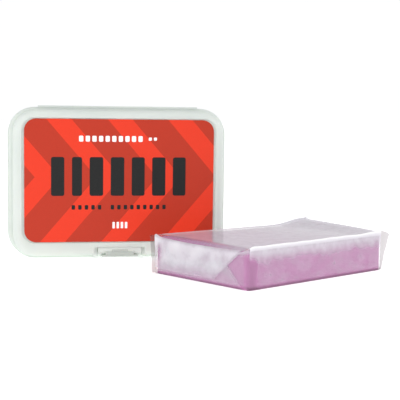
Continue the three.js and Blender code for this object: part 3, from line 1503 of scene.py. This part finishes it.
    def sleeve_point(self, x: float, y: float, z: float, face: Edge) -> tuple[Vector, float]:
        """A point of the sleeve with its wrinkles, and its haze.

        Args:
            x: Place along the bar.
            y: Place across it, on the straight section.
            z: Height on the straight section.
            face: The face of the section that the point is on.

        Returns:
            The point and its haze.
        """
        round_part, top, flat_z = 0.95, self.top, z
        if z > top - round_part:
            z += smooth_step(top - round_part, top, z) * (self.top_level(x, y) - top)
            pinch = math.exp(-(((y + self.wall) / 0.8) ** 2))
            y -= 0.25 * pinch * (0.8 + 0.3 * ripple(x / 6, 0, 0, 10))
        if face == Edge.TOP:
            haze_and_painted_light = self.top_haze_and_sheen(x, y)
        elif face == Edge.FRONT:
            y -= self.front_wrinkle(x, z)
            haze_and_painted_light = self.front_haze_and_shade(x, z)
            # Painted highlight: the front ridge's top goes above 1, white.
            if z > top - 1.4:
                haze_and_painted_light = max(haze_and_painted_light, 1.8 * smooth_step(top - 1.2, top - 0.1, flat_z))
        elif face == Edge.BACK:
            y += 0.16 * ripple(x / 5, z / 7, 0, 13) * smooth_step(0.0, 2.5, z)
            haze_and_painted_light = 0.12 + 0.1 * ripple(x / 5, z / 4, 0, 14)
        else:
            inside = smooth_step(self.wall, self.wall - 2, abs(y))
            z += 0.05 * (1 + ripple(x / 6, y / 6, 0, 15)) * inside
            haze_and_painted_light = 0.06
        return self.drawn(x, y, z, haze_and_painted_light)

    def drawn(self, x: float, y: float, z: float, haze_and_painted_light: float) -> tuple[Vector, float]:
        """A point kept above the floor, and its haze kept to the finish's range."""
        return Vector((x, y, max(self.floor_gap, z))), max(-1.0, min(2.0, haze_and_painted_light))

    def sleeve(self) -> Geometry:
        """The tube around the bar, without its ends.

        Returns:
            The tube as a grid.
        """
        section = self.section()
        columns = len(section)
        length = self.near_sleeve + self.far_sleeve

        def place(row: float, column: float) -> tuple[Vector, float]:
            """Point of the sleeve and its haze, at two shares."""
            y, z, face = section[round(column * columns) % columns]
            return self.sleeve_point(length * row - self.near_sleeve, y, z, face)

        return sheet_grid(self.rows, columns, place)

    def sleeve_end(self, end: End) -> float:
        """Distance from the bar's middle to the sleeve's end."""
        return self.near_sleeve if end == End.NEAR else self.far_sleeve

    def hinge_point(self, end: End, edge: Edge, share: float) -> tuple[float, float]:
        """y and z of the sleeve's end along one of its four edges.

        Args:
            end: Which end of the bar.
            edge: Which edge of that end.
            share: From 0 to 1 along it: front to back, or bottom to top.

        Returns:
            y and z.
        """
        low = 0.03
        x = self.sleeve_end(end) * end.value
        if edge in (Edge.TOP, Edge.BOTTOM):
            y = (2 * share - 1) * self.wall
            return y, self.top_level(x, y) if edge == Edge.TOP else low
        hand = -1 if edge == Edge.FRONT else 1
        return hand * self.wall, low + share * (self.top - low)

    def flap(self, end: End, flap: Flap) -> Geometry:
        """One folded panel, from the sleeve's end over the edge and along the end face.

        Args:
            end: Which end of the bar.
            flap: The panel.

        Returns:
            The panel as a grid.
        """
        level = flap.edge in (Edge.TOP, Edge.BOTTOM)
        columns, rows = (60, 22) if level else (20, 18)
        run = flap.layer - flap.corner
        bend = flap.corner * math.pi / 2
        length = 2 * self.wall if level else self.top

        def place(row: float, column: float) -> tuple[Vector, float]:
            """Point of the panel and its haze.

            Args:
                row: Share of the way from the sleeve to the panel's free edge.
                column: Share of the way along the edge.

            Returns:
                The point and its haze.
            """
            reach = flap.first_reach + (flap.last_reach - flap.first_reach) * column
            travel = row * (run + bend + reach - flap.corner)
            angle = max(0.0, min(bend, travel - run)) / flap.corner
            straight = max(0.0, travel - run - bend)
            out = self.sleeve_end(end) + min(travel, run) + flap.corner * math.sin(angle)
            inward = flap.corner * (1 - math.cos(angle)) + straight
            down = inward / reach
            first = flap.first_start + (flap.first_inset - flap.first_start) * down
            last = flap.last_inset * down
            share = (first + column * (length - first - last)) / length
            y, z = self.hinge_point(end, flap.edge, share)
            if flap.edge == Edge.TOP:
                z -= inward
            elif flap.edge == Edge.BOTTOM:
                z += inward
            else:
                y += inward if flap.edge == Edge.FRONT else -inward
            puff, haze_and_painted_light = self.end_relief(end, flap, y, z, down)
            haze_and_painted_light *= 0.55 + 0.45 * smooth_step(0.0, 0.05, column)
            return self.drawn(end.value * (out + puff), y, z, haze_and_painted_light)

        return sheet_grid(rows, columns, place)

    def end_relief(self, end: End, flap: Flap, y: float, z: float, down: float) -> tuple[float, float]:
        """How far the film stands off at a point of a folded end, and its milkiness with painted highlights
        and painted contact shadow.

        Args:
            end: Which end of the bar.
            flap: The panel.
            y: Place across the end.
            z: Height.
            down: Share of the panel's reach, 0 at the edge that it comes over.

        Returns:
            Stand-off and haze.
        """
        seed = 20 + end.value * 3 + flap.layer * 2
        free = smooth_step(0.0, 0.35, down)
        puff = free * (0.3 * ripple(y / 8, z / 7, seed) + 0.06 * ripple(y / 2.4, z / 4, seed, 1))
        haze_and_painted_light = flap.haze_and_painted_light * (1 + 0.12 * ripple(y / 5, z / 6, seed, 2))
        if flap.edge == Edge.TOP:
            across = -y * end.value
            puff += free * sum(crease.rise(across, z) for crease in self.end_creases)
            puff += flap.lift * down * down
            bare = math.exp(-(((across - 22.4) / 1.6) ** 2) - ((z - 9) / 3.8) ** 2)
            # Painted highlights: bright facets where the crinkled film catches the light, and lighter
            # towards the top.
            painted_facet_glints = 0.4 * ripple(across / 6 + z / 9, z / 16, 0, 50)
            painted_facet_glints += 0.2 * ripple(across / 3 - z / 8, z / 12, 0, 51)
            haze_and_painted_light += painted_facet_glints + 0.25 * smooth_step(9, 15, z) - 0.2 * smooth_step(6, 20, -across)
            haze_and_painted_light *= (0.75 + 0.25 * smooth_step(0.0, 0.16, down)) * (1 - 0.9 * bare)
            haze_and_painted_light *= 1 - 0.65 * smooth_step(0.6, 1.0, down)
        elif flap.edge == Edge.BOTTOM:
            puff += 0.2 * down
        else:
            haze_and_painted_light += 0.7 * smooth_step(12.4, 15.2, z) - 0.36 * smooth_step(0.28, 0.0, down)
        # Painted contact shadow: below 0, darker towards the floor.
        haze_and_painted_light -= 1.2 * smooth_step(1.8, 0.2, z)
        return puff * 0.8, max(-1.0, min(2.0, haze_and_painted_light))

    def fin(self, fin: Fin) -> Geometry:
        """A fin at a corner of the bar.

        Args:
            fin: The fin.

        Returns:
            It as a grid.
        """
        low, high = fin.profile[0][0], fin.profile[-1][0]
        seed = 30 + fin.end.value + fin.hand

        def place(row: float, column: float) -> tuple[Vector, float]:
            """Point of the fin and its haze.

            Args:
                row: Share of the way up.
                column: Share of its reach.

            Returns:
                The point and its haze.
            """
            z = low + (high - low) * row
            out = fin.reach(z) * column
            sway = 0.3 * ripple(z / 4, column * 1.3, 0, seed) * column
            y = fin.hand * (self.wall - 0.2 + fin.splay * out) + sway
            x = fin.end.value * (self.sleeve_end(fin.end) + out)
            return self.drawn(x, y, z, fin.haze_and_painted_light + 0.15 * column)

        return sheet_grid(28, 8, place)

    def seam(self) -> Geometry:
        """The sealed lap along the back, with its crimped edge.

        Returns:
            The lap as a grid.
        """
        low, high, half = 3.0, 13.0, 37.0

        def place(row: float, column: float) -> tuple[Vector, float]:
            """Point of the lap and its haze.

            Args:
                row: Share of the way along the bar.
                column: Share of the way up.

            Returns:
                The point and its haze.
            """
            x = -half + 2 * half * row
            z = low + (high - low) * column
            off = 0.28 + 0.22 * smooth_step(0.5, 1.0, column) * (1 + ripple(x / 4, z / 6, 0, 41))
            crimp = 0.04 * math.sin(x * 5.2) * (column > 0.75)
            return Vector((x, self.wall + off + crimp, z)), 0.35 + 0.25 * (column > 0.72)

        return sheet_grid(150, 12, place)

    def build(self, placement: Placement) -> None:
        """Builds the wrap and puts it on its body.

        Args:
            placement: The bar's placement.
        """
        wrap = self.sleeve()
        wrap.add(self.seam())
        for end in End:
            for flap in self.flaps:
                wrap.add(self.flap(end, flap))
        for fin in self.fins:
            wrap.add(self.fin(fin))
        wrap.vertices = [self.shape.bend(point) for point in wrap.vertices]
        made = new_object("film_wrap", wrap)
        tidy_mesh(made, merge=0.02, closed=False)
        kinds = ("tuck_front", "tuck_back", "flap_top", "flap_bottom")
        folds = [f"film_{kind}_{end}" for end in ("near", "far") for kind in kinds]
        nodes = ["film_sleeve", "film_seam", *folds]
        settle(made, placement, ClearFilm().material(), Slot.FILM, nodes, crease=75)
        ride(made, Body.BAR)


# ------------------------------------------------------------------------------------------ the studio


@dataclass(frozen=True)
class Softbox:
    """A square soft lamp: where it hangs and points, its side and its power in watts."""

    name: str
    place: tuple[float, float, float]
    target: tuple[float, float, float]
    size: float
    power: float

    def build(self) -> None:
        """Adds the lamp."""
        data = bpy.data.lights.new(self.name, "AREA")
        data.shape = "SQUARE"
        data.size = self.size
        data.energy = self.power
        made = bpy.data.objects.new(self.name, data)
        made.location = self.place
        made.rotation_mode = "QUATERNION"
        aim = Vector(self.target) - Vector(self.place)
        made.rotation_quaternion = aim.to_track_quat("-Z", "Y")
        bpy.context.scene.collection.objects.link(made)


@dataclass(frozen=True)
class Surround:
    """The even white surround, which dims upward from the horizon's light to the light overhead."""

    colour: Colour = (0.985, 0.99, 1.0, 1.0)
    horizon_light: float = 1.02
    overhead_light: float = 0.72
    dims_from: float = 0.12
    dims_to: float = 0.6

    def build(self) -> None:
        """Makes it the scene's world."""
        world = bpy.data.worlds.new("studio_surround")
        world.use_nodes = True
        tree = world.node_tree
        tree.nodes.clear()
        where = tree.nodes.new("ShaderNodeTexCoord")
        parts = tree.nodes.new("ShaderNodeSeparateXYZ")
        level = tree.nodes.new("ShaderNodeMapRange")
        background = tree.nodes.new("ShaderNodeBackground")
        output = tree.nodes.new("ShaderNodeOutputWorld")
        for name, value in (
            ("From Min", self.dims_from),
            ("From Max", self.dims_to),
            ("To Min", self.horizon_light),
            ("To Max", self.overhead_light),
        ):
            level.inputs[name].default_value = value
        background.inputs["Color"].default_value = self.colour
        tree.links.new(where.outputs["Generated"], parts.inputs[0])
        tree.links.new(parts.outputs[2], level.inputs["Value"])
        tree.links.new(level.outputs[0], background.inputs["Strength"])
        tree.links.new(background.outputs[0], output.inputs["Surface"])
        bpy.context.scene.world = world


@dataclass(frozen=True)
class Studio:
    """Pale floor, soft light and the camera, which is placed from the case's middle."""

    origin: Vector
    camera_offset: tuple[float, float, float] = (-0.0442, -0.4538, 0.0678)
    heading: float = 10.28
    dip: float = 5.23
    roll: float = 0.75
    lens: float = 90.0
    floor_half: float = 4.0
    lamps: tuple[Softbox, ...] = (
        Softbox("key_softbox", (-0.75, -0.55, 0.75), (0, 0, 0.03), 0.6, 3.4),
        Softbox("side_softbox", (0.95, -0.2, 0.45), (0.03, 0, 0.02), 0.5, 2.2),
    )

    def camera(self) -> None:
        """Adds the camera."""
        data = bpy.data.cameras.new("camera")
        data.lens = self.lens
        data.sensor_width = 36
        data.clip_start, data.clip_end = 0.01, 50
        made = bpy.data.objects.new("camera", data)
        heading, dip = math.radians(self.heading), math.radians(self.dip)
        level_part = math.cos(dip)
        forward = Vector((math.sin(heading) * level_part, math.cos(heading) * level_part, -math.sin(dip)))
        level = forward.to_track_quat("-Z", "Y")
        made.location = self.origin + Vector(self.camera_offset)
        made.rotation_mode = "QUATERNION"
        made.rotation_quaternion = level @ Quaternion((0, 0, 1), math.radians(self.roll))
        bpy.context.scene.collection.objects.link(made)
        bpy.context.scene.camera = made

    def floor(self) -> None:
        """Adds the floor."""
        h = self.floor_half
        corners = [Vector((-h, -h, 0)), Vector((h, -h, 0)), Vector((h, h, 0)), Vector((-h, h, 0))]
        made = new_object("studio_floor", Geometry(corners, [(0, 1, 2, 3)]))
        made.data.materials.append(PaperFloor().material())

    def build(self) -> None:
        """Adds everything and sets how colours are shown."""
        self.camera()
        self.floor()
        Surround().build()
        for lamp in self.lamps:
            lamp.build()
        scene = bpy.context.scene
        scene.view_settings.view_transform = "Standard"
        scene.cycles.transparent_max_bounces = 24
        scene.cycles.diffuse_bounces = 8


def case_placement() -> Placement:
    """Where the case's drawing sits: its middle, on the floor, at the parting plane.

    Returns:
        The placement.
    """
    lid_low, lid_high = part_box("lid_shell")
    middle = (lid_low.x + lid_high.x) / 2
    parting = lid_high.y + LID_HALF.start * MM
    return Placement(Vector((middle, parting, 0)), Vector((1, 0, 0)), Vector((0, 0, 1)), Vector((0, -1, 0)))


def bar_placement(record: Mapping[str, Any], turn: float = 30.4) -> Placement:
    """Where the bar's drawing sits: the middle of its underside, turned on the floor.

    Args:
        record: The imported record.
        turn: How far the bar is turned from the case, in degrees.

    Returns:
        The placement.
    """
    middle = next(mount["pos_m"] for mount in record["mounts"] if mount["name"] == "bar_underside")
    c, s = math.cos(math.radians(turn)), math.sin(math.radians(turn))
    return Placement(Vector(middle), Vector((c, s, 0)), Vector((-s, c, 0)), Vector((0, 0, 1)))


def main() -> None:
    """Builds the studio, the case and the wrapped bar around the frame."""
    logging.basicConfig(level=logging.INFO, format="%(message)s")
    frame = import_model()
    case = case_placement()
    Studio(case.origin).build()
    # A darker copy of the case plastic: painted shade on the thumb ledge's steps.
    ledge_shade_finish = CasePlastic(display(207, 214, 208), display(196, 203, 198), name="case_polypropylene_ledge_shade")
    HingedCase(case, CasePlastic().material(), ledge_shade_finish.material()).build()
    Label().build(case)
    bar = bar_placement(frame["record"])
    shape = BarShape()
    ClayBlock(shape).build(bar)
    FilmWrap(shape).build(bar)


if __name__ == "__main__":
    main()
